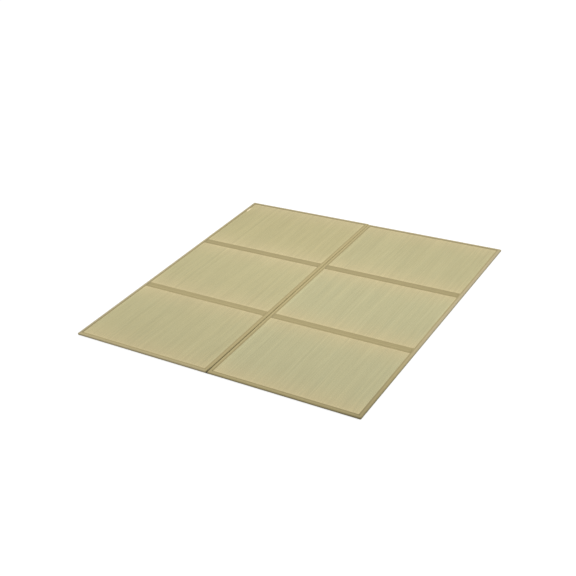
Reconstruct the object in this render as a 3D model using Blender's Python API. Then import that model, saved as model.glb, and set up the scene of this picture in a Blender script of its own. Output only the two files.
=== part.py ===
"""A folding tatami mat: six rush-faced panels in two columns of three, bound in khaki cloth.

Units are metres. X runs across the two columns, Y runs from the front edge to the back edge, the
way the rush lies, and Z is up from the floor. The origin is on the floor, in the middle of the mat.
"""

import math
from collections import namedtuple

import bmesh
import bpy
from mathutils import Vector

# Driving dimensions of the whole mat
MAT_WIDTH = 1.790
MAT_DEPTH = 1.806
THICKNESS = 0.011
ROWS = ("front", "middle", "back")

# How far each fold lies behind a column's front edge: the rows differ by a few millimetres
FOLD_PLACES = (0.6052, 1.2042)

# The seam between the columns lies a little left of the middle, and it opens towards the front
CENTRE_SEAM_X = -0.0022
CENTRE_GAP_FRONT = 0.0046
CENTRE_GAP_BACK = 0.0003

# Cloth binding, folded over the edges of a column
CLOTH = 0.001
BINDING_WIDTH = 0.024
EDGE_RADIUS = 0.005
CORNER_RADIUS = 0.008
INNER_CORNER_RADIUS = 0.002
MITRE_PART = 0.00022

# Cloth tape over the fold between two rows, which dips at the fold, from REACH away on either side
TAPE_WIDTH = 0.046
TAPE_DIP = 0.0008
TAPE_DIP_AT_SHOULDER = 0.00027
TAPE_DIP_SHOULDER = 0.003
TAPE_DIP_REACH = 0.006

# Rush panel
PANEL_PART = 0.006
RUSH_TOP = 0.0107
RIM_DROP = 0.0005
FOLD_EDGE_RADIUS = 0.002
PANEL_ARC_STEPS = 3

# Blank label on the back left panel, its outer side tucked against the binding
LABEL_WIDTH = 0.0135
LABEL_LENGTH = 0.045
LABEL_THICKNESS = 0.0006
LABEL_FROM_BACK = 0.093
LABEL_CORNER = 0.001

GAP = 0.0003
ARC_STEPS = 4
SHARP_FROM_DEGREES = 35

# Side -1 is the left column and 1 is the right one. front is how far the column's front edge lies
# behind the mat's front line, and depth is the column's own length, which differs a little.
Column = namedtuple("Column", "name side front depth")
COLUMNS = (
    Column("left", side=-1, front=0.0, depth=MAT_DEPTH),
    Column("right", side=1, front=0.0004, depth=1.799),
)

# One strip of binding runs along each side of a column's outline, counted from its front side
SIDE_NAMES = {
    -1: ("front", "inner", "back", "outer"),
    1: ("front", "outer", "back", "inner"),
}

# Colours are sRGB, from 0 to 255
Finish = namedtuple("Finish", "name colour roughness")
RUSH = Finish("rush", (195, 186, 140), 0.75)
BINDING = Finish("binding_cloth", (182, 169, 124), 0.9)
LABEL = Finish("label_cloth", (236, 228, 204), 0.8)


def clear_scene():
    """Remove the objects that are there."""
    for thing in list(bpy.data.objects):
        bpy.data.objects.remove(thing, do_unlink=True)


def linear(channel):
    """One sRGB channel from 0 to 255, as linear light from 0 to 1."""
    share = channel / 255
    return share / 12.92 if share <= 0.04045 else ((share + 0.055) / 1.055) ** 2.4


def material_of(finish):
    """The finish's material, made once."""
    found = bpy.data.materials.get(finish.name)
    if found:
        return found
    made = bpy.data.materials.new(finish.name)
    made.use_nodes = True
    shader = made.node_tree.nodes["Principled BSDF"]
    shader.inputs["Base Color"].default_value = (*map(linear, finish.colour), 1)
    shader.inputs["Roughness"].default_value = finish.roughness
    shader.inputs["Metallic"].default_value = 0
    return made


def corner_points(before, corner, after, radius):
    """Points of a rounded corner between two sides, in the order in which the outline runs."""
    come = (corner - before).normalized()
    leave = (after - corner).normalized()
    half_turn = come.angle(leave) / 2
    setback = radius * math.tan(half_turn)
    inward = (leave - come).normalized()
    centre = corner + inward * (radius / math.cos(half_turn))
    start = corner - come * setback
    spoke = start - centre
    points = []
    for step in range(ARC_STEPS + 1):
        turn = 2 * half_turn * step / ARC_STEPS
        across = come * math.sin(turn) * radius
        points.append(centre + spoke * math.cos(turn) + across)
    return points


def inset_corners(corners, insets):
    """The corners of the outline with each side moved inwards by its own distance."""
    lines = []
    for index, corner in enumerate(corners):
        along = (corners[(index + 1) % len(corners)] - corner).normalized()
        inward = Vector((-along.y, along.x))
        lines.append((corner + inward * insets[index], along))
    moved = []
    for index, (point, along) in enumerate(lines):
        other_point, other_along = lines[index - 1]
        cross = other_along.cross(along)
        reach = (point - other_point).cross(along) / cross
        moved.append(other_point + other_along * reach)
    return moved


def ring(corners, insets, radius):
    """The inset outline with rounded corners, as one list of points for each corner."""
    inner = inset_corners(corners, insets)
    count = len(inner)
    return [
        corner_points(inner[index - 1], inner[index], inner[(index + 1) % count], radius)
        for index in range(count)
    ]


def plan_radius(inset):
    """Radius in plan, so that the cloth keeps its thickness round a corner of the column."""
    return max(CORNER_RADIUS - inset, INNER_CORNER_RADIUS)


def finish_object(name, mesh_builder, finish):
    """Turn the bmesh into an object that has its finish."""
    bmesh.ops.recalc_face_normals(mesh_builder, faces=mesh_builder.faces)
    mesh = bpy.data.meshes.new(name)
    mesh_builder.to_mesh(mesh)
    mesh_builder.free()
    mesh.shade_smooth()
    mesh.set_sharp_from_angle(angle=math.radians(SHARP_FROM_DEGREES))
    mesh.materials.append(material_of(finish))
    made = bpy.data.objects.new(name, mesh)
    bpy.context.scene.collection.objects.link(made)
    return made


def loft(name, loops, closed_loops, finish):
    """Skin the loops of points in order, and cap the first and last. All have the same count."""
    builder = bmesh.new()
    rows = [[builder.verts.new(point) for point in loop] for loop in loops]
    for low, high in zip(rows, rows[1:]):
        count = len(low)
        for index in range(count if closed_loops else count - 1):
            following = (index + 1) % count
            builder.faces.new((low[index], low[following], high[following], high[index]))
    builder.faces.new(rows[0])
    builder.faces.new(rows[-1])
    return finish_object(name, builder, finish)


def column_corners(column):
    """The column's outline on the floor: front left, front right, back right, back left."""
    low = -MAT_DEPTH / 2 + column.front
    high = low + column.depth
    outer = column.side * MAT_WIDTH / 2
    inner_front = CENTRE_SEAM_X + column.side * CENTRE_GAP_FRONT / 2
    inner_back = CENTRE_SEAM_X + column.side * CENTRE_GAP_BACK / 2
    if column.side < 0:
        plan = ((outer, low), (inner_front, low), (inner_back, high), (outer, high))
    else:
        plan = ((inner_front, low), (outer, low), (outer, high), (inner_back, high))
    return [Vector(point) for point in plan]


def row_seam(column, index):
    """Y of the fold behind row index."""
    return -MAT_DEPTH / 2 + column.front + FOLD_PLACES[index]


def quarter_turn(radius, centre_inset, centre_height, start_degrees):
    """(inset, height) points of a quarter circle, turning from start_degrees up by 90."""
    points = []
    for step in range(ARC_STEPS + 1):
        angle = math.radians(start_degrees + 90 * step / ARC_STEPS)
        points.append(
            (centre_inset + radius * math.cos(angle), centre_height + radius * math.sin(angle))
        )
    return points


def binding_profile():
    """(inset, height) points round the folded cloth, open side towards the panel."""
    upper = THICKNESS - EDGE_RADIUS
    outside = (
        [(BINDING_WIDTH, THICKNESS)]
        + quarter_turn(EDGE_RADIUS, EDGE_RADIUS, upper, 90)
        + quarter_turn(EDGE_RADIUS, EDGE_RADIUS, EDGE_RADIUS, 180)
        + [(BINDING_WIDTH, 0.0)]
    )
    lining = EDGE_RADIUS - CLOTH
    inside = (
        [(BINDING_WIDTH, THICKNESS - CLOTH)]
        + quarter_turn(lining, EDGE_RADIUS, upper, 90)
        + quarter_turn(lining, EDGE_RADIUS, EDGE_RADIUS, 180)
        + [(BINDING_WIDTH, CLOTH)]
    )
    return outside + inside[::-1]


def add_binding(column, side):
    """The strip of binding along one side of a column, mitred at both ends."""
    corners = column_corners(column)
    start, end = corners[side], corners[(side + 1) % len(corners)]
    part = (end - start).normalized() * MITRE_PART
    middle = ARC_STEPS // 2
    strings = []
    for inset, height in binding_profile():
        rounded = ring(corners, [inset] * len(corners), plan_radius(inset))
        leave = rounded[side][middle:]
        arrive = rounded[(side + 1) % len(corners)][: middle + 1]
        path = [leave[0] + part, *leave[1:], *arrive[:-1], arrive[-1] - part]
        strings.append([(point.x, point.y, height) for point in path])
    sections = [list(section) for section in zip(*strings)]
    name = f"binding_{column.name}_{SIDE_NAMES[column.side][side]}"
    return loft(name, sections, True, BINDING)


def fold_edge_inset(height, top):
    """How far a panel's edge at a fold is rounded in, at that height."""
    depth_in = min(height, top - height)
    if depth_in >= FOLD_EDGE_RADIUS:
        return 0.0
    drop = FOLD_EDGE_RADIUS - depth_in
    return FOLD_EDGE_RADIUS - math.sqrt(FOLD_EDGE_RADIUS**2 - drop**2)


def panel_levels():
    """(height, inset at a bound side, inset at a fold) up the panel, from the rim's outline."""
    rim = CLOTH + GAP
    field = BINDING_WIDTH + GAP - rim
    fold_field = TAPE_WIDTH / 2 + GAP - PANEL_PART / 2
    rim_top = THICKNESS - rim
    round_in = EDGE_RADIUS - rim
    round_up = round_in - RIM_DROP
    levels = [(0.0, field, fold_edge_inset(0.0, rim_top))]
    levels.append((rim, field, fold_edge_inset(rim, rim_top)))
    for step in range(PANEL_ARC_STEPS + 1):
        angle = math.radians(90 * step / PANEL_ARC_STEPS)
        height = EDGE_RADIUS - round_up * math.cos(angle)
        inset = round_in * (1 - math.sin(angle))
        levels.append((height, inset, fold_edge_inset(height, rim_top)))
    for step in range(PANEL_ARC_STEPS + 1):
        angle = math.radians(90 * step / PANEL_ARC_STEPS)
        height = THICKNESS - EDGE_RADIUS + round_up * math.sin(angle)
        inset = round_in * (1 - math.cos(angle))
        levels.append((height, inset, fold_edge_inset(height, rim_top)))
    levels.append((rim_top, field, fold_field))
    levels.append((RUSH_TOP, field, fold_field))
    return levels


def panel_corners(column, row):
    """The outline of a panel's rim, and for each of its sides whether it lies at a fold."""
    corners = column_corners(column)
    rim = CLOTH + GAP
    front_inset = FOLD_PLACES[row - 1] + PANEL_PART / 2 if row else rim
    if row < len(ROWS) - 1:
        back_inset = column.depth - FOLD_PLACES[row] + PANEL_PART / 2
    else:
        back_inset = rim
    outline = inset_corners(corners, [front_inset, rim, back_inset, rim])
    return outline, [row > 0, False, row < len(ROWS) - 1, False]


def add_panel(column, row):
    """A rush panel. Its rim steps down, above and below, to take the binding and the tape."""
    outline, folds = panel_corners(column, row)
    loops = []
    for height, bound, fold in panel_levels():
        insets = [fold if at_fold else bound for at_fold in folds]
        radius = plan_radius(CLOTH + GAP + bound)
        points = sum(ring(outline, insets, radius), [])
        loops.append([(point.x, point.y, height) for point in points])
    return loft(f"panel_{column.name}_{ROWS[row]}", loops, True, RUSH)


def side_x(column, side, y):
    """X of one side of the column's outline at that Y."""
    corners = column_corners(column)
    start, end = corners[side], corners[(side + 1) % len(corners)]
    return start.x + (end.x - start.x) * (y - start.y) / (end.y - start.y)


def tape_profile():
    """(distance from the fold, height) points round the tape, which dips at the fold."""
    dips = [
        (-TAPE_WIDTH / 2, 0.0),
        (-TAPE_DIP_REACH, 0.0),
        (-TAPE_DIP_SHOULDER, -TAPE_DIP_AT_SHOULDER),
        (0.0, -TAPE_DIP),
    ]
    dips += [(-across, drop) for across, drop in dips[-2::-1]]
    upper = [(across, THICKNESS + drop) for across, drop in dips]
    lower = [(across, THICKNESS - CLOTH + drop) for across, drop in dips]
    return lower + upper[::-1]


def add_tape(column, row):
    """The tape over the fold behind a row, from one long binding to the other."""
    seam = row_seam(column, row)
    clear = BINDING_WIDTH + GAP
    left, right = [], []
    for across, height in tape_profile():
        y = seam + across
        left.append((side_x(column, 3, y) + clear, y, height))
        right.append((side_x(column, 1, y) - clear, y, height))
    return loft(f"tape_{column.name}_{ROWS[row]}", [left, right], True, BINDING)


def add_label():
    """The blank label, flat on the rush of the back left panel."""
    left = -MAT_WIDTH / 2 + BINDING_WIDTH + GAP
    back = MAT_DEPTH / 2 - LABEL_FROM_BACK
    front = back - LABEL_LENGTH
    right = left + LABEL_WIDTH
    corners = [Vector(p) for p in ((left, front), (right, front), (right, back), (left, back))]
    points = sum(ring(corners, [0.0] * len(corners), LABEL_CORNER), [])
    low = RUSH_TOP + GAP
    loops = [[(p.x, p.y, z) for p in points] for z in (low, low + LABEL_THICKNESS)]
    return loft("label", loops, True, LABEL)


def build_mat():
    """Make every piece of the mat."""
    clear_scene()
    for column in COLUMNS:
        for row in range(len(ROWS)):
            add_panel(column, row)
        for row in range(len(ROWS) - 1):
            add_tape(column, row)
        for side in range(len(SIDE_NAMES[column.side])):
            add_binding(column, side)
    add_label()


build_mat()
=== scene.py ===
"""Looks of a folding tatami mat: rush facing, khaki binding, fold tapes, blank label and sewing.

Units are metres, in the row frame: X runs across the two columns, Y from the front edge to the back
edge, the way the rush lies, and Z is up from the floor.
"""

from __future__ import annotations

import logging
import math
from dataclasses import dataclass
from enum import Enum
from functools import cache

import bmesh
import bpy
import numpy as np
from mathutils import Matrix, Vector


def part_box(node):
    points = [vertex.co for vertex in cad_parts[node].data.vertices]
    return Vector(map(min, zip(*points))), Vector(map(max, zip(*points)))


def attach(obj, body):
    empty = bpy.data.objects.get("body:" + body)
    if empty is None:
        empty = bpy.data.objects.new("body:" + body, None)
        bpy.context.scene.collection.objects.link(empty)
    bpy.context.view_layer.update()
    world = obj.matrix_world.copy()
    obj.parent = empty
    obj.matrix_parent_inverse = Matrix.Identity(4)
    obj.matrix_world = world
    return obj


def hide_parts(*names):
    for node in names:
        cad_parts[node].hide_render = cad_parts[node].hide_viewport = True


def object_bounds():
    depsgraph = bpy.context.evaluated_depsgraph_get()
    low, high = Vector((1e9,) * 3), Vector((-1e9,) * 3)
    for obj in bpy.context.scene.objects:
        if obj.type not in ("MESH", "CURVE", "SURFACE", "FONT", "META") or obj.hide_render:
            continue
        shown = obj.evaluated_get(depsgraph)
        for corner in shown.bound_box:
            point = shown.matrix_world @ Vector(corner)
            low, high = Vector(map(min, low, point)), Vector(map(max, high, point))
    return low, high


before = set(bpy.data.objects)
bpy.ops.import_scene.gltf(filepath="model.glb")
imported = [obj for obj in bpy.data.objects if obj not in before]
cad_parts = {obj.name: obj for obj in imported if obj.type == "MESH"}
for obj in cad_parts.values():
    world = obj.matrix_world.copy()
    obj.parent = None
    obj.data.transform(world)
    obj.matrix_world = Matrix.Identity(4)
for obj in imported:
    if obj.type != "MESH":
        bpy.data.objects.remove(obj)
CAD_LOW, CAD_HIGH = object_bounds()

LOG = logging.getLogger("tatami_mat")
ROWS = ("front", "middle", "back")
GROOVE_SHARPNESS = 5.0
WAVE_STRETCH = (0.85, 1.15)
WAVE_WEIGHTS = (0.5, 1.0)
NUMBER, VECTOR = "NodeSocketFloat", "NodeSocketVector"
GEOMETRY, MATERIAL = "NodeSocketGeometry", "NodeSocketMaterial"
SOCKETS = {float: NUMBER, int: "NodeSocketInt", tuple: VECTOR}

Array = np.ndarray
Piece = bpy.types.Object
Socket = bpy.types.NodeSocket
Tree = bpy.types.NodeTree
Triple = tuple[float, float, float]
Colour = Triple
Span = tuple[float, float]
Shares = tuple[Span, ...]
Quad = list[Triple]


class Slot(Enum):
    """The record's material slots."""

    RUSH = "rush"
    CLOTH = "binding_cloth"
    LABEL = "label_cloth"


class Face(Enum):
    """The two faces of the mat that sewing shows on, as the way out of the cloth."""

    TOP = 1
    UNDERSIDE = -1


@dataclass(frozen=True)
class MatSizes:
    """Driving sizes of the mat. The outer ones come from the frame."""

    width: float = CAD_HIGH.x - CAD_LOW.x
    folds: Span = (0.6052, 1.2042)
    thickness: float = 0.011
    seam_x: float = -0.0022
    seam_gap_front: float = 0.0046
    seam_gap_back: float = 0.0003
    cloth: float = 0.001
    border: float = 0.024
    edge_radius: float = 0.005
    corner_radius: float = 0.008
    least_radius: float = 0.002
    mitre_part: float = 0.00022
    tape: float = 0.046
    tape_dip: float = 0.0008
    panel_part: float = 0.006
    rush_top: float = 0.0107
    rim_drop: float = 0.0005
    gap: float = 0.0003
    border_seam: float = 0.0203
    tape_seam: float = 0.0155
    thread_radius: float = 0.00022
    thread_rise: float = 0.000132

    def plan_radius(self, inset: float) -> float:
        """Radius in plan of a column's corner, that far in from its outline."""
        return max(self.corner_radius - inset, self.least_radius)


SIZES = MatSizes()


def linear_rgba(colour: Colour) -> tuple[float, ...]:
    """Turn an sRGB colour, from 0 to 255, into linear light with an alpha of 1."""
    shares = [value / 255 for value in colour]
    return (*(s / 12.92 if s <= 0.04045 else ((s + 0.055) / 1.055) ** 2.4 for s in shares), 1.0)


def waver(seed: int, span: Span, along: Array, count: int = 7) -> Array:
    """Seeded smooth unevenness along a length, from about -1 to 1.

    Args:
        seed: Seed of the draw.
        span: Shortest and longest wave.
        along: Places along the length.
        count: How many waves are added.

    Returns:
        The unevenness at those places.
    """
    draw = np.random.default_rng(seed)
    lengths = np.geomspace(*span, count) * draw.uniform(*WAVE_STRETCH, count)
    phases = draw.uniform(0, 2 * math.pi, count)
    weights = draw.uniform(*WAVE_WEIGHTS, count)
    waves = np.sin(2 * math.pi * along[:, None] / lengths + phases)
    return waves @ weights / np.sqrt((weights**2).sum()) / math.sqrt(2)


def bump_at(place: Array, middle: float, spread: float) -> Array:
    """A soft hump of height 1 about middle."""
    return np.exp(-(((place - middle) / spread) ** 2))


def smooth_step(value: Array, low: float, high: float) -> Array:
    """0 below low, 1 above high, and smooth in between."""
    share = np.clip((value - low) / (high - low), 0, 1)
    return share * share * (3 - 2 * share)


def left_of(along: Array) -> Array:
    """The ways a quarter turn to the left of those in plan."""
    return np.stack([-along[..., 1], along[..., 0]], -1)


def cross(first: Array, second: Array) -> Array:
    """Cross products of ways in plan, row by row."""
    return first[..., 0] * second[..., 1] - first[..., 1] * second[..., 0]


def run_lengths(points: Array) -> Array:
    """Distance from a line's first point to each of its points, along it."""
    return np.concatenate([[0], np.cumsum(np.linalg.norm(np.diff(points, axis=0), axis=1))])


def inset_corners(corners: Array, insets: list[float]) -> Array:
    """Move each side of an outline inwards.

    Args:
        corners: The outline's corners, anticlockwise, one row each.
        insets: How far each side moves, counted from the side that starts at the first corner.

    Returns:
        The corners of the inset outline.
    """
    along = np.roll(corners, -1, axis=0) - corners
    along /= np.linalg.norm(along, axis=1)[:, None]
    starts = corners + left_of(along) * np.array(insets)[:, None]
    before, starts_before = np.roll(along, 1, axis=0), np.roll(starts, 1, axis=0)
    reach = cross(starts - starts_before, along) / cross(before, along)
    return starts_before + before * reach[:, None]


def round_corners(points: Array, corners: Array, radius: float) -> Array:
    """Pull the points of an outline onto its rounded corners.

    Args:
        points: Points on the outline's straight sides.
        corners: The outline's corners.
        radius: Radius of the rounding.

    Returns:
        The points, with those near a corner on its arc.
    """
    rounded = points.copy()
    for index, corner in enumerate(corners):
        sides = [corners[(index + step) % len(corners)] - corner for step in (1, -1)]
        ahead, behind = (side / np.linalg.norm(side) for side in sides)
        centre = corner + (ahead + behind) * radius
        near = ((points - corner) @ ahead < radius) & ((points - corner) @ behind < radius)
        spokes = points[near] - centre
        rounded[near] = centre + radius * spokes / np.linalg.norm(spokes, axis=1)[:, None]
    return rounded


@dataclass(frozen=True)
class ColumnPlan:
    """The outline of one column of three panels. Side -1 is the left column and 1 the right one."""

    name: str
    side: int

    @property
    def low(self) -> float:
        """Y of the front edge."""
        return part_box(f"binding_{self.name}_front")[0].y

    @property
    def high(self) -> float:
        """Y of the back edge."""
        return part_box(f"binding_{self.name}_back")[1].y

    @property
    def side_names(self) -> tuple[str, ...]:
        """Names of the sides, anticlockwise from the front one."""
        right, left = ("inner", "outer") if self.side < 0 else ("outer", "inner")
        return ("front", right, "back", left)

    def corners(self) -> Array:
        """Corners of the outline: front left, front right, back right, back left.

        Returns:
            The corners, one row each.
        """
        outer = self.side * SIZES.width / 2
        front = SIZES.seam_x + self.side * SIZES.seam_gap_front / 2
        back = SIZES.seam_x + self.side * SIZES.seam_gap_back / 2
        x = (outer, front, back, outer) if self.side < 0 else (front, outer, outer, back)
        return np.column_stack([x, (self.low, self.low, self.high, self.high)])

    def side_line(self, side: int, inset: float) -> tuple[Array, ...]:
        """Start and end of a side, that far in, with the way along it and the way inwards.

        Args:
            side: The side's number, from the front one.
            inset: How far in its line lies.

        Returns:
            The start, the end, the way along and the way inwards.
        """
        inner = inset_corners(self.corners(), [inset] * 4)
        start, end = inner[side], inner[(side + 1) % 4]
        along = (end - start) / np.linalg.norm(end - start)
        return start, end, along, left_of(along)

    def fold(self, row: int) -> float:
        """Y of the fold behind that row."""
        return self.low + SIZES.folds[row]

    def between(self, y: Array | float, inset: float) -> tuple:
        """X of the left and of the right side at that Y, both that far in.

        Args:
            y: One Y or an array of them.
            inset: How far in.

        Returns:
            X at the left and X at the right.
        """
        corners = self.corners()
        ends = []
        for side, way in ((3, 1), (1, -1)):
            start, end = corners[side], corners[(side + 1) % 4]
            at_side = start[0] + (end[0] - start[0]) * (y - start[1]) / (end[1] - start[1])
            ends.append(at_side + way * inset)
        return tuple(ends)


class NodeSketch:
    """Adds nodes to a tree. Each value is an output socket to link, or a plain value to set."""

    def __init__(self, tree: Tree) -> None:
        """Work on that tree."""
        self.tree = tree

    def feed(self, sockets: object, values: dict) -> None:
        """Link or set input sockets, by name or number.

        Args:
            sockets: The node's inputs.
            values: Values by the input's name or number.
        """
        for name, value in values.items():
            if isinstance(value, Socket):
                self.tree.links.new(value, sockets[name])
            else:
                sockets[name].default_value = value

    def add(self, kind: str, inputs: dict | None = None, **settings: object) -> bpy.types.NodeOutputs:
        """Add a node.

        Args:
            kind: The node's type.
            inputs: Values by the input's name or number.
            settings: The node's own properties.

        Returns:
            The node's outputs.
        """
        node = self.tree.nodes.new(kind)
        for name, value in settings.items():
            setattr(node, name, value)
        self.feed(node.inputs, inputs or {})
        return node.outputs

    def math(self, operation: str, *values: object) -> Socket:
        """Work out up to three numbers."""
        return self.add("ShaderNodeMath", dict(enumerate(values)), operation=operation)[0]

    def times(self, product: object, *factors: object) -> object:
        """Multiply numbers.

        Args:
            product: The first number.
            factors: The others.

        Returns:
            The product.
        """
        for factor in factors:
            product = self.math("MULTIPLY", product, factor)
        return product

    def vary(self, value: object, amount: object, start: object = 1.0) -> Socket:
        """Multiply a number by an amount and add the start."""
        return self.math("MULTIPLY_ADD", value, amount, start)

    def fall(self, value: object, low: object, high: object) -> Socket:
        """Fall smoothly from 1 at low to 0 at high."""
        inputs = {"Value": value, "From Min": low, "From Max": high, "To Min": 1.0, "To Max": 0.0}
        return self.add("ShaderNodeMapRange", inputs, interpolation_type="SMOOTHSTEP")[0]

    def near(self, away: object, reach: float) -> Socket:
        """Fall as a square does, from 1 at no distance to 0 at the reach."""
        share = self.add("ShaderNodeClamp", {"Value": self.math("DIVIDE", away, reach)})[0]
        return self.math("POWER", self.math("SUBTRACT", 1.0, share), 2.0)

    def groove(self, rib_place: object) -> Socket:
        """How deep in a groove a place across the ribs is: 0 on a crest, and 1 at a whole number."""
        off_crest = self.vary(self.math("FRACT", rib_place), 2.0, -1.0)
        return self.math("POWER", self.math("ABSOLUTE", off_crest), GROOVE_SHARPNESS)

    def random(self, seed: object) -> Socket:
        """Draw a number from 0 to 1 for each seed."""
        return self.add("ShaderNodeTexWhiteNoise", {"W": seed}, noise_dimensions="1D")["Value"]

    def noise(self, inputs: dict, **settings: object) -> Socket:
        """Smooth noise over a vector, from about -1 to 1."""
        noise = self.add("ShaderNodeTexNoise", {"Scale": 1.0} | inputs, **settings)
        return self.vary(noise[0], 4.0, -2.0)

    def blend(self, share: object, low: Colour | object, high: Colour) -> Socket:
        """Mix two colours by a share. A plain colour is sRGB.

        Args:
            share: Share of the second colour.
            low: The first colour.
            high: The second colour.

        Returns:
            The socket of the mixed colour.
        """
        low = low if isinstance(low, Socket) else linear_rgba(low)
        inputs = {0: share, 6: low, 7: linear_rgba(high)}
        return self.add("ShaderNodeMix", inputs, data_type="RGBA", clamp_factor=True)[2]

    def scale(self, vector: object, amount: object) -> Socket:
        """Multiply a vector or colour by a number."""
        return self.add("ShaderNodeVectorMath", {0: vector, "Scale": amount}, operation="SCALE")[0]

    def join(self, x: object, y: object, z: object = 0.0) -> Socket:
        """Make the vector of three numbers."""
        return self.add("ShaderNodeCombineXYZ", {0: x, 1: y, 2: z})[0]

    def split(self, vector: object) -> bpy.types.NodeOutputs:
        """The X, Y and Z of a vector."""
        return self.add("ShaderNodeSeparateXYZ", {0: vector})

    def attribute(self, name: str, output: str = "Fac") -> Socket:
        """Read an attribute in a material."""
        return self.add("ShaderNodeAttribute", attribute_name=name)[output]

    def place(self) -> Socket:
        """The place in the row frame, in a material."""
        return self.add("ShaderNodeTexCoord")["Object"]

    def drift(self, place: object, reach: Triple, detail: float = 2.0) -> Socket:
        """Slow change of tone from about -1 to 1, that keeps its tone for the reach along X, Y, Z."""
        inputs = {"Place": place, "Reach": reach, "Detail": detail}
        return self.add("ShaderNodeGroup", inputs, node_tree=drift_group())["Tone"]


class NodePart:
    """A node group with named inputs and outputs."""

    def __init__(self, name: str, kind: str, inputs: dict, outputs: dict) -> None:
        """Make the group's tree and its sockets.

        Args:
            name: The group's name.
            kind: ShaderNodeTree or GeometryNodeTree.
            inputs: Default value, or else the socket's type, by the input's name.
            outputs: Socket type by the output's name.
        """
        self.tree = bpy.data.node_groups.new(name, kind)
        sockets = self.tree.interface
        for label, value in inputs.items():
            if isinstance(value, str):
                sockets.new_socket(label, in_out="INPUT", socket_type=value)
            else:
                made = sockets.new_socket(label, in_out="INPUT", socket_type=SOCKETS[type(value)])
                made.default_value = value
        for label, kind in outputs.items():
            sockets.new_socket(label, in_out="OUTPUT", socket_type=kind)
        self.sketch = NodeSketch(self.tree)
        self.given = self.sketch.add("NodeGroupInput")

    def done(self, values: dict) -> Tree:
        """Feed the group's outputs, by name, and return its tree.

        Args:
            values: Values by the output's name.

        Returns:
            The group's tree.
        """
        result = self.tree.nodes.new("NodeGroupOutput")
        self.sketch.feed(result.inputs, values)
        return self.tree


@cache
def weave_group() -> Tree:
    """A plain weave: its height from 0 to 1, and the tone of its threads from -1 to 1.

    Returns:
        The group's tree.
    """
    inputs = {"Place": VECTOR, "Thread Pitch": 0.0006}
    part = NodePart("plain weave", "ShaderNodeTree", inputs, {"Height": NUMBER, "Tone": NUMBER})
    sketch = part.sketch
    place = sketch.split(part.given["Place"])
    waves, strip_shades = [], []
    for number in range(2):
        thread = sketch.math("DIVIDE", place[number], part.given["Thread Pitch"])
        waves.append(sketch.math("SINE", sketch.times(thread, math.pi)))
        strip_shades.append(sketch.random(sketch.math("ADD", sketch.math("FLOOR", thread), number * 0.5)))
    tone = sketch.math("SUBTRACT", sketch.math("ADD", *strip_shades), 1.0)
    return part.done({"Height": sketch.vary(sketch.times(*waves), 0.5, 0.5), "Tone": tone})


@cache
def drift_group() -> Tree:
    """Slow change of tone over a surface, from about -1 to 1.

    Returns:
        The group's tree.
    """
    inputs = {"Place": VECTOR, "Reach": (0.05, 0.05, 0.05), "Detail": 2.0}
    part = NodePart("tone drift", "ShaderNodeTree", inputs, {"Tone": NUMBER})
    place = {0: part.given["Place"], 1: part.given["Reach"]}
    scaled = part.sketch.add("ShaderNodeVectorMath", place, operation="DIVIDE")[0]
    return part.done({"Tone": part.sketch.noise({"Vector": scaled, "Detail": part.given["Detail"]})})


@dataclass(frozen=True, kw_only=True)
class Finish:
    """A finish of the mat, as a material that is made once."""

    name: str
    colour: Colour
    roughness: float
    specular: float
    relief: float = 0.0
    bump: float = 0.5

    def look(self, sketch: NodeSketch) -> dict:
        """The finish's own values for the shader's inputs."""
        raise NotImplementedError

    def normal(self, sketch: NodeSketch, height: object) -> object:
        """The surface's normal, bumped by a height from 0 to 1."""
        inputs = {"Height": height, "Strength": self.bump, "Distance": self.relief}
        return sketch.add("ShaderNodeBump", inputs)[0]

    def material(self) -> bpy.types.Material:
        """The finish's material.

        Returns:
            The material, which is made at the first call.
        """
        if self.name in bpy.data.materials:
            return bpy.data.materials[self.name]
        made = bpy.data.materials.new(self.name)
        made.use_nodes = True
        sketch = NodeSketch(made.node_tree)
        values = {"Roughness": self.roughness, "Specular IOR Level": self.specular}
        values |= self.look(sketch)
        sketch.feed(made.node_tree.nodes["Principled BSDF"].inputs, values)
        return made


@dataclass(frozen=True, kw_only=True)
class WovenFinish(Finish):
    """Plain woven cloth: the binding, the label and the mat's backing."""

    faded: Colour
    thread_pitch: float
    roughness: float = 0.9
    specular: float = 0.2
    bump: float = 0.6
    sheen: float = 0.05
    sheen_roughness: float = 0.6
    thread_tone: float = 0.05
    painted_hollow_shade: float = 0.16
    drift_tone: float = 0.02
    drift_reach: Triple = (0.09, 0.03, 0.03)

    def look(self, sketch: NodeSketch) -> dict:
        """Colour the cloth by its weave, with painted shade in its hollows, a slow drift of tone, and the
        tone, painted shade and fade that each piece gives it.

        Args:
            sketch: The material's sketch.

        Returns:
            Values or sockets by the shader input's name.
        """
        place = sketch.attribute("cloth_place", "Vector")
        inputs = {"Place": place, "Thread Pitch": self.thread_pitch}
        weave = sketch.add("ShaderNodeGroup", inputs, node_tree=weave_group())
        tone = sketch.vary(weave["Tone"], self.thread_tone)
        tone = sketch.vary(sketch.drift(place, self.drift_reach), self.drift_tone, tone)
        # Painted shade: the hollows of the weave are darker.
        hollow = sketch.vary(weave["Height"], self.painted_hollow_shade, 1 - self.painted_hollow_shade / 2)
        tone = sketch.times(tone, hollow, sketch.attribute("cloth_shade"))
        # The faded colour is fade on the binding and painted shade on the label.
        colour = sketch.blend(sketch.attribute("cloth_fade_and_shade"), self.colour, self.faded)
        return {
            "Base Color": sketch.scale(colour, tone),
            "Normal": self.normal(sketch, weave["Height"]),
            "Sheen Weight": self.sheen,
            "Sheen Roughness": self.sheen_roughness,
        }


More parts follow.
